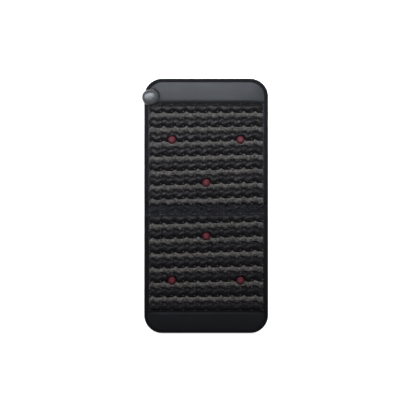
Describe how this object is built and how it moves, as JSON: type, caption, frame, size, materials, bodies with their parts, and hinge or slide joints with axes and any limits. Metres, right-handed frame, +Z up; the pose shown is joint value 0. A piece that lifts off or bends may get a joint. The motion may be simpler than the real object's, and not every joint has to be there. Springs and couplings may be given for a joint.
{
  "type": "infrared heating mat",
  "caption": "Flat stone-filled infrared heating mat with wavy quilted rows, red light lenses, an inlet housing at one corner and a cross band on which it folds in half.",
  "frame": {"origin": "centre of the mat's underside, on the back of the fold band", "axes": "+Y towards the head end with the connector, +Z up through the thickness, +X to the right seen from above with the head end away"},
  "size_m": [0.494, 0.9906, 0.027],
  "materials": {
    "cover_cloth": "plain woven polyester, black",
    "dark_cloth": "satin quilted cloth, black",
    "stone_mesh": "dark grey stone chips under fine mesh",
    "panel_leather": "satin artificial leather, black",
    "binding_tape": "folded edge tape, black",
    "felt": "needled felt",
    "foil": "reflective foil",
    "cable_sheath": "silicone sheath",
    "harness_tape": "flat conductor tape",
    "red_lens": "moulded red lens",
    "housing_plastic": "gloss moulded plastic, dark grey",
    "socket_plastic": "moulded plastic, black",
    "board_resin": "glass-fibre circuit board",
    "screw_steel": "zinc plated"
  },
  "bodies": {
    "head_half": {"head_back_cover": "cover_cloth", "head_insulation_felt": "felt", "head_reflective_foil": "foil", "head_heating_cable": "cable_sheath", "head_light_harness": "harness_tape", "head_pocket_backing": "cover_cloth", "head_panel": "panel_leather", "head_edge_binding": "binding_tape", "dark_pocket_row_01": "dark_cloth", "dark_pocket_row_02": "dark_cloth", "dark_pocket_row_03": "dark_cloth", "dark_pocket_row_04": "dark_cloth", "dark_pocket_row_05": "dark_cloth", "dark_pocket_row_06": "dark_cloth", "dark_pocket_row_07": "dark_cloth", "stone_pocket_row_01": "stone_mesh", "stone_pocket_row_02": "stone_mesh", "stone_pocket_row_03": "stone_mesh", "stone_pocket_row_04": "stone_mesh", "stone_pocket_row_05": "stone_mesh", "stone_pocket_row_06": "stone_mesh", "stone_pocket_row_07": "stone_mesh", "light_lens_1": "red_lens", "light_lens_2": "red_lens", "light_lens_3": "red_lens", "temperature_sensor": "socket_plastic", "connector_top": "housing_plastic", "connector_base": "housing_plastic", "inlet_socket": "socket_plastic", "circuit_board": "board_resin", "housing_screw_1": "screw_steel", "housing_screw_2": "screw_steel"},
    "fold_band": {"fold_band_back": "cover_cloth", "fold_band_top": "dark_cloth", "fold_binding_left": "binding_tape", "fold_binding_right": "binding_tape"},
    "foot_half": {"foot_back_cover": "cover_cloth", "foot_insulation_felt": "felt", "foot_reflective_foil": "foil", "foot_heating_cable": "cable_sheath", "foot_light_harness": "harness_tape", "foot_pocket_backing": "cover_cloth", "foot_panel": "panel_leather", "foot_edge_binding": "binding_tape", "dark_pocket_row_08": "dark_cloth", "dark_pocket_row_09": "dark_cloth", "dark_pocket_row_10": "dark_cloth", "dark_pocket_row_11": "dark_cloth", "dark_pocket_row_12": "dark_cloth", "dark_pocket_row_13": "dark_cloth", "dark_pocket_row_14": "dark_cloth", "stone_pocket_row_08": "stone_mesh", "stone_pocket_row_09": "stone_mesh", "stone_pocket_row_10": "stone_mesh", "stone_pocket_row_11": "stone_mesh", "stone_pocket_row_12": "stone_mesh", "stone_pocket_row_13": "stone_mesh", "light_lens_4": "red_lens", "light_lens_5": "red_lens", "light_lens_6": "red_lens"}
  },
  "joints": [
    {"name": "foot_fold", "type": "hinge", "parent": "fold_band", "child": "foot_half", "pos_m": [0, -0.0276, 0.005], "axis": [-1, 0, 0], "range_deg": [0, 90]},
    {"name": "band_fold", "type": "hinge", "parent": "head_half", "child": "fold_band", "pos_m": [0, 0.0014, 0.005], "axis": [-1, 0, 0], "range_deg": [0, 90]}
  ],
  "couplings": [
    {"joint": "band_fold", "follows": "foot_fold", "ratio": 1}
  ]
}
